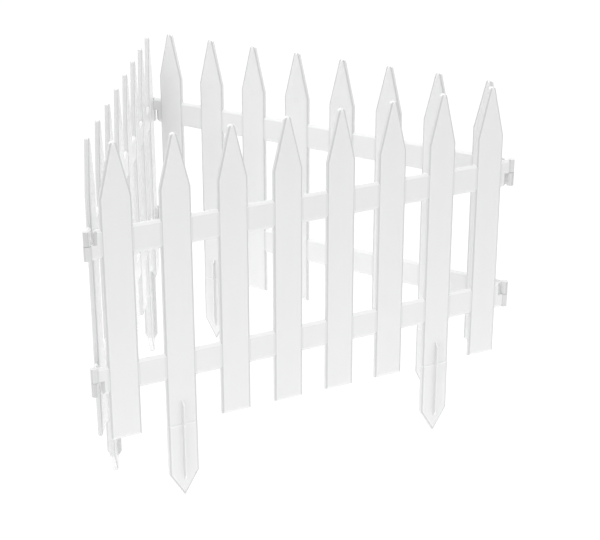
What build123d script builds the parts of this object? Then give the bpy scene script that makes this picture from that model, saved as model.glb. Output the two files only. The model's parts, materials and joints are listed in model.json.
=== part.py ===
from build123d import *
from math import acos, atan2, cos, hypot, radians, sin
import os

# Panel layout, in millimetres
picket_count = 8
picket_pitch = 71.0
hinge_to_picket = 35.0

# Pickets
picket_width = 37.5
picket_thickness = 6.8
picket_height = 358.0
shoulder_drop = 63.5
tip_radius = 4.1

# Rails
rail_height = 34.5
rail_thickness = 4.8
lower_rail_bottom = 60.0
upper_rail_bottom = 226.0
rail_corner_radius = 5.0

# Bevels along the rims of the broad faces
bevel_width = 3.5
bevel_depth = 1.5

# Ground spikes under the second picket from each end
spike_picket_from_end = 2
spike_length = 96.0
spike_taper = 30.0
spike_ledge = 0.7

# Stiffening rib of a spike, standing out on both faces
rib_width = 2.2
rib_proud = 5.5
rib_above_ground = 31.5
rib_below_ground = 75.5
rib_top_ramp = 6.0
rib_bottom_ramp = 8.0

# Hinge knuckles at the rail ends
knuckle_radius = 4.3
knuckle_gap = 0.5
knuckle_side_clearance = 3.5
pin_radius = 2.1
pin_running_clearance = 0.05
pin_length = 10.0
pin_tip_chamfer = 0.6
bore_end_clearance = 1.0

# Lengths that follow from the values above
panel_length = 2 * hinge_to_picket + (picket_count - 1) * picket_pitch
spike_thickness = picket_thickness + 2 * spike_ledge
rib_depth = picket_thickness / 2 + rib_proud
cut_back = knuckle_radius + knuckle_side_clearance
bore_radius = pin_radius + pin_running_clearance
bore_depth = pin_length - knuckle_gap + bore_end_clearance
corner_turn = 360.0 / 3
held_picket = picket_count // 2 - 1

across = Plane.XZ


def slab(profile, thickness):
    # A flat outline given the thickness evenly on both sides of the panel's middle plane.
    return extrude(profile, amount=thickness / 2, both=True)


def bevelled(body, wanted=lambda rim: True):
    # Bevels the wanted rims of both broad faces, wide across the face and shallow into the thickness.
    for side in (0, -1):
        face = body.faces().sort_by(Axis.Y)[side]
        body = chamfer(face.edges().filter_by(wanted), bevel_width, bevel_depth, reference=face)
    return body


def picket_outline(bottom):
    # Straight sides up to the shoulders, then a taper that runs tangent into the rounded tip.
    half = picket_width / 2
    shoulder = picket_height - shoulder_drop
    centre = picket_height - tip_radius
    reach = hypot(half, shoulder - centre)
    angle = atan2(shoulder - centre, half) + acos(tip_radius / reach)
    tip_x = tip_radius * cos(angle)
    tip_z = centre + tip_radius * sin(angle)
    lower = Polyline((-tip_x, tip_z), (-half, shoulder), (-half, bottom), (half, bottom), (half, shoulder),
                     (tip_x, tip_z))
    upper = ThreePointArc((tip_x, tip_z), (0, picket_height), (-tip_x, tip_z))
    return make_face(lower + upper)


def plain_picket():
    return bevelled(slab(across * picket_outline(0), picket_thickness))


def spike_picket():
    # The picket runs on below the ground line as a thicker pointed spike with a cross rib.
    half = picket_width / 2
    overlap = spike_length - spike_taper
    upper = bevelled(slab(across * picket_outline(-overlap / 2), picket_thickness))
    point = make_face(Polyline((-half, 0), (-half, -overlap), (0, -spike_length), (half, -overlap),
                               (half, 0), close=True))
    lower = bevelled(slab(across * point, spike_thickness), lambda rim: rim.center().Z < -1e-4)
    side = make_face(Polyline((-picket_thickness / 2, rib_above_ground),
                              (picket_thickness / 2, rib_above_ground),
                              (rib_depth, rib_above_ground - rib_top_ramp),
                              (rib_depth, -rib_below_ground + rib_bottom_ramp),
                              (spike_thickness / 2, -rib_below_ground),
                              (-spike_thickness / 2, -rib_below_ground),
                              (-rib_depth, -rib_below_ground + rib_bottom_ramp),
                              (-rib_depth, rib_above_ground - rib_top_ramp), close=True))
    rib = extrude(Plane.YZ * side, amount=rib_width / 2, both=True)
    return upper + lower + rib


def rail(bottom, flipped):
    # Half of each end reaches the hinge axis; the other half is cut back with a rounded corner.
    top = bottom + rail_height
    middle = bottom + rail_height / 2
    gap = knuckle_gap / 2
    far = panel_length
    points = [(0, bottom), (far - cut_back, bottom), (far - cut_back, middle + gap), (far, middle + gap),
              (far, top), (cut_back, top), (cut_back, middle - gap), (0, middle - gap)]
    rounded = [(far - cut_back, bottom), (cut_back, top)]
    if flipped:
        points = [(x, bottom + top - z) for x, z in points]
        rounded = [(x, bottom + top - z) for x, z in rounded]
    outline = make_face(Polyline(*points, close=True))
    corners = [v for v in outline.vertices() if any(hypot(v.X - x, v.Y - z) < 1e-6 for x, z in rounded)]
    body = slab(across * fillet(corners, rail_corner_radius), rail_thickness)
    return bevelled(body, lambda rim: rim.length > picket_pitch)


def upright(x, low, high, radius):
    return Pos(x, 0, low) * Cylinder(radius, high - low, align=(Align.CENTER, Align.CENTER, Align.MIN))


def pin(face, direction):
    # A round pin growing out of a knuckle's inner face, with a chamfered tip.
    body = Cylinder(pin_radius, pin_length, align=(Align.CENTER, Align.CENTER, Align.MIN))
    body = chamfer(body.edges().sort_by(Axis.Z)[-1], pin_tip_chamfer)
    turn = 0 if direction > 0 else 180
    return Pos(panel_length, 0, face) * Rot(turn, 0, 0) * body


def panel(with_pins):
    # One moulding: pickets, two rails, and half-height knuckles that stack with the next panel's.
    body = rail(lower_rail_bottom, True) + rail(upper_rail_bottom, False)
    spikes = (spike_picket_from_end - 1, picket_count - spike_picket_from_end)
    plain = plain_picket()
    spiked = spike_picket()
    for i in range(picket_count):
        shape = spiked if i in spikes else plain
        body += Pos(hinge_to_picket + i * picket_pitch, 0, 0) * shape
    for bottom, outward in ((lower_rail_bottom, -1), (upper_rail_bottom, 1)):
        middle = bottom + rail_height / 2
        outer = middle + outward * rail_height / 2
        inner = middle - outward * rail_height / 2
        pin_face = middle + outward * knuckle_gap / 2
        bore_face = middle - outward * knuckle_gap / 2
        bore_end = bore_face - outward * bore_depth
        body += upright(panel_length, min(pin_face, outer), max(pin_face, outer), knuckle_radius)
        body += upright(0, min(bore_face, inner), max(bore_face, inner), knuckle_radius)
        body -= upright(0, min(bore_face, bore_end), max(bore_face, bore_end), bore_radius)
        if with_pins:
            body += pin(pin_face, -outward)
    return body


# Corners of the closed triangle, with the held picket's bottom at the origin
front_left = Vector(-hinge_to_picket - held_picket * picket_pitch, 0, 0)
front_right = front_left + Vector(panel_length, 0, 0)
back_left = front_left + Vector(panel_length * cos(radians(180 - corner_turn)),
                                panel_length * sin(radians(180 - corner_turn)), 0)

pinned = panel(True)
panels = {
    "front_panel": Pos(front_left) * panel(False),
    "left_panel": Pos(back_left) * Rot(0, 0, 2 * corner_turn) * pinned,
    "back_panel": Pos(front_right) * Rot(0, 0, corner_turn) * pinned,
}

os.makedirs("parts", exist_ok=True)
for name, solid in panels.items():
    solid.label = name
    export_step(solid, f"parts/{name}.step")
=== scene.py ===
import json
from math import cos, radians, sin
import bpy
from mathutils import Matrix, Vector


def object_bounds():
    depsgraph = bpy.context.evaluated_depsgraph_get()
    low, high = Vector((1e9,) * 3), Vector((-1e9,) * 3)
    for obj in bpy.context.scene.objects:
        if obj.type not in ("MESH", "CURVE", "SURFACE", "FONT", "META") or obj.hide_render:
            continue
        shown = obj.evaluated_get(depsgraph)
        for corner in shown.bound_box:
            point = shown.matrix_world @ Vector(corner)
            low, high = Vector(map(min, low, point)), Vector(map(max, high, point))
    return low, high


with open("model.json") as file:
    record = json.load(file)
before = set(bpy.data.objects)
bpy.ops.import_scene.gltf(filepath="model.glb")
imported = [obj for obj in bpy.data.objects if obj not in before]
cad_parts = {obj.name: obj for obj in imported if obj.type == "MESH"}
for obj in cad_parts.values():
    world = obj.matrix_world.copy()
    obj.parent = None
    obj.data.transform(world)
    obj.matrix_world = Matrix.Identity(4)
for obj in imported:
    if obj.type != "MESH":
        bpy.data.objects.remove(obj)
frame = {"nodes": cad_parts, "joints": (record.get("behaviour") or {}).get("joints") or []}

from types import SimpleNamespace

import bpy
from mathutils import Vector

cad_low, cad_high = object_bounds()

# Panel sizes in millimetres, as moulded
millimetre = 0.001
picket_count = 8
picket_pitch = 71.0
hinge_to_picket = 35.0
panel_length = 2 * hinge_to_picket + (picket_count - 1) * picket_pitch
picket_width = 37.5
picket_thickness = 6.8
spike_ledge = 0.7
rail_thickness = 4.8
knuckle_radius = 4.3
corner_turn = radians(120)

# White plastic: its lighter and darker clouds, a grey for painted shadow in creases and for its seams,
# ejector rings and scuffs, a darker grey for painted shade on edges, ribs and knuckles, and a pale tone for
# painted highlights on tops and ledges
plastic_light = (0.880, 0.880, 0.882, 1)
plastic_shade = (0.836, 0.837, 0.840, 1)
plastic_shade_and_marks = (0.700, 0.702, 0.708, 1)
plastic_painted_shade = (0.600, 0.603, 0.610, 1)
plastic_painted_highlight = (0.960, 0.960, 0.960, 1)
plastic_ior = 1.49

# How a surface faces: 1 is square to the panel, or straight up. A mark fades between the two values
side_facing = (0.35, 0.70)
bevel_facing = (0.94, 0.98)
face_facing = (0.95, 0.99)
seam_facing = (0.30, 0.50)
upright_facing = (0.30, 0.38)
top_facing = (0.33, 0.37)

# How far each mark reaches, in millimetres. It fades between the two values
edge_sunk = (0.5, 0.8)
rib_sunk = (-0.6, -0.2)
rib_reach = (2.0, 3.0)
knuckle_reach = (0.9 * knuckle_radius, 1.3 * knuckle_radius)
crease_rise = (0.2, 0.5)
crease_reach = (0.2, 2.6)
seam_reach = (0.12, 0.34)
ring_reach = (0.15, 0.55)
# Height of the band under the spike ledge that is painted paler as a highlight
ledge_highlight_band = 1.5

# Ejector marks on the inner face of every picket, in millimetres
ejector_heights = (26.0, 160.0, 292.0)
ejector_radius = 2.8
ejector_rim = 0.4
inner_skin = 0.3

# Sizes of the spots in the plastic, in millimetres: a streak and a scuff along, inwards and up
cloud_size = 45.0
grain_size = 0.55
flow_size = (16.0, 8.0, 120.0)
scuff_size = (1.1, 2.0, 30.0)

# How finely the spots break up, their mean, and the share of the surface that is scuffed
flow_detail = 3.0
grain_crispness = 0.6
scuff_detail = 4.0
scuff_crispness = 0.65
mean_speckle = 0.5
scuff_share = (0.62, 0.74)

# How strongly each mark shows in the colour: the ledge and top tones are painted highlights, the edge, rib,
# knuckle and crease tones are painted shade, the side tone takes some of that shade off the side walls, and
# the seam, ring and scuff tones are the plastic's own marks
clear_tone = 0.6
cloud_tone = 0.5
ledge_highlight_tone = 0.8
top_highlight_tone = 0.65
edge_tone = 0.75
side_tone = -0.45
rib_tone = 0.9
knuckle_tone = 0.45
crease_tone = 0.4
seam_tone = 0.3
ring_tone = 0.25
scuff_tone = 0.02

# Roughness of the plastic, and what each mark adds to it
plain_roughness = 0.20
cloud_roughness = 0.01
side_roughness = 0.08
dish_roughness = -0.03

# Heights of the marks on the surface, in millimetres
grain_height = 0.0015
seam_height = 0.08
ring_height = 0.06
dish_height = -0.05

# Edge rounding left by the mould: lengths in metres
edge_radius = 0.00045
edge_steps = 2
sharp_angle = radians(15)
weld_distance = 0.00001
broad_face_weight = 100

# Camera: turned to the left of the front panel and looking down, with lengths in metres
view_turn = radians(-28.0)
view_drop = radians(21.62)
view_centre = Vector((0.0355, 0.17, 0.17))
view_right = 0.06336
view_up = -0.06238
view_distance = 1.90066
focal_pixels = 1467.39
photo_width = 600
sensor_width = 36.0

# Studio: lengths in metres, tones and glows as shares of white
floor_reach = 12.0
floor_sides = 96
floor_gap = 0.0006
floor_glow = 0.88
floor_shade_tone = 0.16
floor_bounce_tone = 0.88
light_table_glow = 0.34
light_table_reach = (0.35, 1.10)
room_light = 0.70
backdrop_white = 1.0
lamp_distance = 3.0
lamp_size = 2.0
overhead_distance = 2.8
overhead_size = 2.6
studio_middle = (cad_low + cad_high) / 2


class Field:
    """A number that changes over a surface. Sums of fields add Math nodes."""

    def __init__(self, paint, socket):
        self.paint = paint
        self.socket = socket

    def maths(self, operation, *values):
        return self.paint.node("ShaderNodeMath", {"operation": operation}, dict(enumerate(values)))

    def __add__(self, other):
        return self.maths("ADD", self, other)

    def __radd__(self, other):
        return self.maths("ADD", other, self)

    def __sub__(self, other):
        return self.maths("SUBTRACT", self, other)

    def __rsub__(self, other):
        return self.maths("SUBTRACT", other, self)

    def __mul__(self, other):
        return self.maths("MULTIPLY", self, other)

    def __rmul__(self, other):
        return self.maths("MULTIPLY", other, self)

    def __truediv__(self, other):
        return self.maths("DIVIDE", self, other)

    def __rtruediv__(self, other):
        return self.maths("DIVIDE", other, self)

    def __mod__(self, step):
        return self.maths("FLOORED_MODULO", self, step)

    def __abs__(self):
        return self.maths("ABSOLUTE", self)

    def __lt__(self, limit):
        return self.maths("LESS_THAN", self, limit)

    def __gt__(self, limit):
        return self.maths("GREATER_THAN", self, limit)

    def root(self):
        return self.maths("SQRT", self)

    def lower_of(self, other):
        return self.maths("MINIMUM", self, other)

    def higher_of(self, other):
        return self.maths("MAXIMUM", self, other)

    def fade(self, start, end):
        """1 up to start, 0 from end on, smooth in between."""
        return self.paint.node("ShaderNodeMapRange", {"interpolation_type": "SMOOTHSTEP"},
                               {"Value": self, "From Min": start, "From Max": end,
                                "To Min": 1.0, "To Max": 0.0})


class Paint:
    """The nodes of one material or of the world."""

    def __init__(self, owner):
        owner.use_nodes = True
        self.tree = owner.node_tree
        self.tree.nodes.clear()

    def node(self, kind, settings=None, sockets=None, out=0):
        """Adds a node by its type, its settings and its sockets' values or links, and gives one output."""
        made = self.tree.nodes.new(kind)
        for name, value in (settings or {}).items():
            setattr(made, name, value)
        for name, value in (sockets or {}).items():
            if isinstance(value, Field):
                self.tree.links.new(value.socket, made.inputs[name])
            else:
                made.inputs[name].default_value = value
        return Field(self, made.outputs[out]) if made.outputs else None

    def blend(self, amount, first, second):
        """A colour between two, by a field."""
        return self.node("ShaderNodeMix", {"data_type": "RGBA"}, {0: amount, 6: first, 7: second}, 2)

    def speckle(self, place, size=1.0, detail=2.0, crispness=0.5):
        """Soft random spots from 0 to 1, one spot about size units of place across."""
        return self.node("ShaderNodeTexNoise", {},
                         {"Vector": place, "Scale": 1.0 / size, "Detail": detail, "Roughness": crispness})


def panel_spot(paint, corner, turn):
    """Where a point lies in the panel's own millimetres, and how its surface faces.

    The panel runs along from its bored knuckles, its depth grows inwards, and up starts at the ground.
    """
    here = paint.node("ShaderNodeTexCoord", out="Object")
    place = paint.node("ShaderNodeMapping", {"vector_type": "TEXTURE"},
                       {"Vector": here, "Location": corner, "Rotation": (0, 0, turn),
                        "Scale": (millimetre,) * 3})
    along, depth, up = (paint.node("ShaderNodeSeparateXYZ", {}, {"Vector": place}, axis)
                        for axis in "XYZ")
    across = abs((along - hinge_to_picket + picket_pitch / 2) % picket_pitch - picket_pitch / 2)
    faced = paint.node("ShaderNodeTexCoord", out="Normal")
    inwards = (-sin(turn), cos(turn), 0)
    squareness = paint.node("ShaderNodeVectorMath", {"operation": "DOT_PRODUCT"},
                            {0: faced, 1: inwards}, "Value")
    upward = paint.node("ShaderNodeSeparateXYZ", {}, {"Vector": faced}, "Z")
    return SimpleNamespace(place=place, along=along, depth=depth, up=up, across=across,
                           broad=abs(squareness), upward=upward)


def painted_light_and_mould_marks(spot):
    """Masks from 0 to 1 of what is darker, paler or rougher than the broad faces: painted shade on edges,
    ribs, knuckles and creases, painted highlights on tops and ledges, and the moulding's own seam and
    rougher side walls.
    """
    upright = abs(spot.upward).fade(*upright_facing)
    side = spot.broad.fade(*side_facing) * upright
    bevel = spot.broad.fade(*bevel_facing) * upright
    face = 1 - spot.broad.fade(*face_facing)
    sunk = picket_thickness / 2 + (spot.up < 0) * spike_ledge - abs(spot.depth)
    above_rail = abs(spot.depth) - rail_thickness / 2
    beside_picket = spot.across - picket_width / 2
    from_end = panel_length / 2 - abs(spot.along - panel_length / 2)
    return SimpleNamespace(
        side=side,
        edge=bevel * (1 - sunk.fade(*edge_sunk)),
        rib=side * sunk.fade(*rib_sunk) * spot.across.fade(*rib_reach),
        knuckle=from_end.fade(*knuckle_reach),
        crease=face * above_rail.fade(*crease_rise) * beside_picket.fade(*crease_reach),
        seam=abs(spot.depth).fade(*seam_reach) * spot.broad.fade(*seam_facing),
        ledge=(spot.up < 0) * (spot.up > -ledge_highlight_band),
        top=1 - spot.upward.fade(*top_facing))


def ejector_marks(spot):
    """Masks of the faint rings on the inner face of every picket, and of the dishes inside them."""
    nearest = abs(spot.up - ejector_heights[0])
    for height in ejector_heights[1:]:
        nearest = nearest.lower_of(abs(spot.up - height))
    reach = (spot.across * spot.across + nearest * nearest).root()
    inner = spot.depth > picket_thickness / 2 - inner_skin
    ring = abs(reach - ejector_radius).fade(*ring_reach) * inner
    dish = reach.fade(ejector_radius - ejector_rim, ejector_radius) * inner
    return ring, dish


def stretched(paint, spot, size):
    """The panel's coordinates, with one spot of the given size as the unit."""
    return paint.node("ShaderNodeCombineXYZ", {},
                      {"X": spot.along / size[0], "Y": spot.depth / size[1], "Z": spot.up / size[2]})


def panel_plastic(name, corner, turn):
    """White moulded plastic, with flow streaks, clouding, the mould's grain and handling scuffs, painted
    shade on its edges, ribs, knuckles and creases, and painted highlights on its tops and spike ledges.
    """
    material = bpy.data.materials.new(name)
    paint = Paint(material)
    spot = panel_spot(paint, corner, turn)
    mark = painted_light_and_mould_marks(spot)
    ring, dish = ejector_marks(spot)
    flow = paint.speckle(stretched(paint, spot, flow_size), detail=flow_detail)
    cloud = paint.speckle(spot.place, cloud_size)
    grain = paint.speckle(spot.place, grain_size, crispness=grain_crispness)
    drawn = paint.speckle(stretched(paint, spot, scuff_size), detail=scuff_detail, crispness=scuff_crispness)
    scuff = 1 - drawn.fade(*scuff_share)
    clouding = (flow - mean_speckle) + (cloud - mean_speckle)

    shaded = mark.edge * edge_tone + mark.side * side_tone
    shaded = shaded + mark.rib * rib_tone + mark.knuckle * knuckle_tone
    colour = paint.blend(clear_tone + clouding * cloud_tone, plastic_shade, plastic_light)
    # Painted highlight: the band under the spike ledges and every upward-facing top are made paler
    colour = paint.blend(mark.ledge * ledge_highlight_tone + mark.top * top_highlight_tone, colour, plastic_painted_highlight)
    # Painted shade: outer bevels, spike ribs and knuckles are darkened, a little less on the side walls
    colour = paint.blend(shaded, colour, plastic_painted_shade)
    # Painted shadow in the creases where a rail runs into a picket
    colour = paint.blend(mark.crease * crease_tone, colour, plastic_shade_and_marks)
    # The plastic's own parting seams, ejector rings and scuffs, in the same grey
    colour = paint.blend(mark.seam * seam_tone + ring * ring_tone + scuff * scuff_tone, colour, plastic_shade_and_marks)

    roughness = plain_roughness + (clouding + scuff) * cloud_roughness
    roughness = roughness + mark.side * side_roughness + dish * dish_roughness
    height = grain * grain_height + mark.seam * seam_height + ring * ring_height + dish * dish_height
    bump = paint.node("ShaderNodeBump", {}, {"Height": height, "Strength": 1.0, "Distance": millimetre})
    shader = paint.node("ShaderNodeBsdfPrincipled", {},
                        {"Base Color": colour, "Roughness": roughness, "Normal": bump, "IOR": plastic_ior})
    paint.node("ShaderNodeOutputMaterial", {}, {"Surface": shader})
    return material


def round_edges(panel):
    """Rounds the moulding's edges a little, and keeps its broad faces shaded flat."""
    weld = panel.modifiers.new("weld", "WELD")
    weld.merge_threshold = weld_distance
    bevel = panel.modifiers.new("edge_rounding", "BEVEL")
    bevel.width = edge_radius
    bevel.segments = edge_steps
    bevel.limit_method = "ANGLE"
    bevel.angle_limit = sharp_angle
    shading = panel.modifiers.new("even_shading", "WEIGHTED_NORMAL")
    shading.weight = broad_face_weight


def finish_panels():
    """Each panel gets its plastic in its own coordinates, found from the two hinges."""
    hinge = {joint["name"]: Vector(joint["pos_m"]) for joint in frame["joints"]}
    front_left = hinge["front_left_hinge"]
    back_left = hinge["back_left_hinge"]
    side = (back_left - front_left).length
    front_right = front_left + Vector((side, 0, 0))
    turns = {"front_panel": (front_left, 0), "back_panel": (front_right, corner_turn),
             "left_panel": (back_left, 2 * corner_turn)}
    for name, (corner, turn) in turns.items():
        panel = frame["nodes"][name]
        panel.data.materials.clear()
        panel.data.materials.append(panel_plastic(name + "_white_plastic", corner, turn))
        round_edges(panel)


def seen_directly(paint):
    """1 for rays from the camera and for mirrored or clear ones, 0 for light that spreads."""
    rays = [paint.node("ShaderNodeLightPath", out=name)
            for name in ("Is Camera Ray", "Is Glossy Ray", "Is Transmission Ray")]
    return rays[0].higher_of(rays[1]).higher_of(rays[2])


def lay_floor():
    """A white floor that keeps the shadow and, around the fence, lights it from below."""
    bpy.ops.object.select_all(action="DESELECT")
    bpy.ops.mesh.primitive_circle_add(vertices=floor_sides, radius=floor_reach, fill_type="NGON",
                                      location=(0, 0, cad_low.z - floor_gap))
    floor = bpy.context.object
    floor.name = "studio_floor"
    bpy.ops.object.transform_apply(location=True)
    material = bpy.data.materials.new("pale_floor")
    paint = Paint(material)
    shade = paint.node("ShaderNodeBsdfDiffuse", {}, {"Color": (floor_shade_tone,) * 3 + (1,)})
    glow = paint.node("ShaderNodeEmission", {}, {"Color": (1, 1, 1, 1), "Strength": floor_glow})
    shown = paint.node("ShaderNodeAddShader", {}, {0: shade, 1: glow})
    bounce = paint.node("ShaderNodeBsdfDiffuse", {}, {"Color": (floor_bounce_tone,) * 3 + (1,)})
    lamp = paint.node("ShaderNodeEmission", {}, {"Color": (1, 1, 1, 1), "Strength": light_table_glow})
    lit = paint.node("ShaderNodeAddShader", {}, {0: bounce, 1: lamp})
    here = paint.node("ShaderNodeTexCoord", out="Object")
    x, y = (paint.node("ShaderNodeSeparateXYZ", {}, {"Vector": here}, axis) for axis in "XY")
    aside = x - studio_middle.x
    behind = y - studio_middle.y
    table = (aside * aside + behind * behind).root().fade(*light_table_reach)
    under = paint.node("ShaderNodeMixShader", {}, {0: table, 1: bounce, 2: lit})
    mixed = paint.node("ShaderNodeMixShader", {}, {0: seen_directly(paint), 1: under, 2: shown})
    paint.node("ShaderNodeOutputMaterial", {}, {"Surface": mixed})
    floor.data.materials.append(material)


def hang_lamp(name, turn, height, power, distance=lamp_distance, size=lamp_size):
    """A square soft light aimed at the fence's middle, in degrees from the front and up, and in watts."""
    turn = radians(turn)
    height = radians(height)
    away = Vector((sin(turn) * cos(height), -cos(turn) * cos(height), sin(height)))
    lamp = bpy.data.lights.new(name, "AREA")
    lamp.size = size
    lamp.energy = power
    holder = bpy.data.objects.new(name, lamp)
    bpy.context.collection.objects.link(holder)
    holder.location = studio_middle + away * distance
    holder.rotation_euler = away.to_track_quat("Z", "Y").to_euler()


def light_room():
    """Even light from all sides, a white backdrop, and four soft lamps."""
    world = bpy.data.worlds.new("studio_room")
    bpy.context.scene.world = world
    paint = Paint(world)
    room = paint.node("ShaderNodeBackground", {}, {"Color": (1, 1, 1, 1), "Strength": room_light})
    white = paint.node("ShaderNodeBackground", {}, {"Color": (1, 1, 1, 1), "Strength": backdrop_white})
    mixed = paint.node("ShaderNodeMixShader", {}, {0: seen_directly(paint), 1: room, 2: white})
    paint.node("ShaderNodeOutputWorld", {}, {"Surface": mixed})
    hang_lamp("left_softbox", -75, 20, 8)
    hang_lamp("rear_left_softbox", -130, 30, 5)
    hang_lamp("rear_right_softbox", 100, 40, 15)
    hang_lamp("overhead_softbox", 0, 88, 40, overhead_distance, overhead_size)


def place_camera():
    """The photograph's view, with no shift."""
    back = Vector((sin(view_turn) * cos(view_drop), -cos(view_turn) * cos(view_drop), sin(view_drop)))
    right = Vector((cos(view_turn), sin(view_turn), 0))
    up = back.cross(right)
    lens = bpy.data.cameras.new("photo_camera")
    lens.sensor_width = sensor_width
    lens.lens = focal_pixels * sensor_width / photo_width
    camera = bpy.data.objects.new("photo_camera", lens)
    bpy.context.collection.objects.link(camera)
    camera.location = view_centre + right * view_right + up * view_up + back * view_distance
    camera.rotation_euler = back.to_track_quat("Z", "Y").to_euler()
    bpy.context.scene.camera = camera


finish_panels()
lay_floor()
light_room()
place_camera()
bpy.context.scene.view_settings.view_transform = "Standard"
